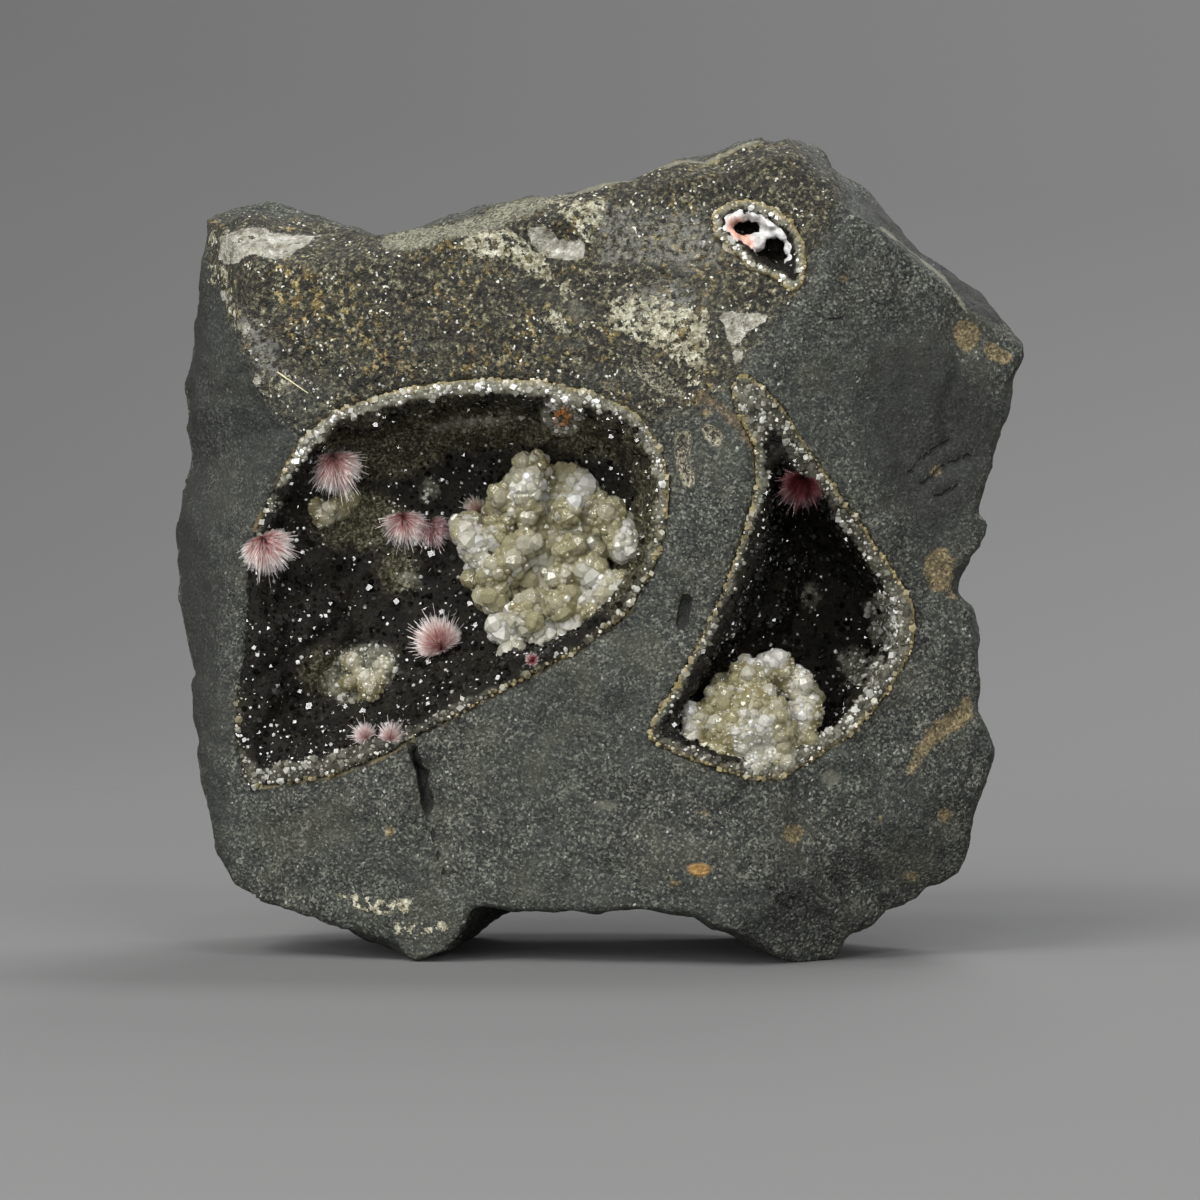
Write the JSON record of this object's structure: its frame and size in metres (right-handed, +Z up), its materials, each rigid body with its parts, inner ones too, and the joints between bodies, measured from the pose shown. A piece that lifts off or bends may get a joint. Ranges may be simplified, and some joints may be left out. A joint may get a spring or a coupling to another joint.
{
  "type": "natrolite and analcime mineral specimen on basalt matrix",
  "caption": "Broken block of dark basalt that stands on edge, with crystal-lined gas pockets holding pale analcime clusters and round pink-cored sprays of natrolite needles.",
  "frame": {"origin": "middle of the bounding box's underside, on the surface that the specimen stands on", "axes": "+Z up, +X to the right seen from the front, and the front, where the pockets open, faces -Y"},
  "size_m": [0.1114, 0.0522, 0.1069],
  "materials": {
    "basalt": "fresh-broken fine-grained rock, matt, brown and stained where weathered",
    "druse": "fine glassy crystals over dark rock, whitish at the rims",
    "analcime": "translucent straw-coloured to clear crystals with bright faces",
    "natrolite": "silky needles, deep red at the root and white at the tips"
  },
  "bodies": {
    "root": {"basalt_matrix": "basalt", "left_pocket_druse": "druse", "right_pocket_druse": "druse", "small_pocket_druse": "druse", "analcime_cluster_left": "analcime", "analcime_cluster_right": "analcime", "analcime_knob_upper": "analcime", "analcime_knob_lower": "analcime", "natrolite_spray_top": "natrolite", "natrolite_spray_left": "natrolite", "natrolite_spray_twin_a": "natrolite", "natrolite_spray_twin_b": "natrolite", "natrolite_spray_middle": "natrolite", "natrolite_spray_brown": "natrolite", "natrolite_spray_low_a": "natrolite", "natrolite_spray_low_b": "natrolite", "natrolite_spray_right": "natrolite"}
  },
  "joints": []
}
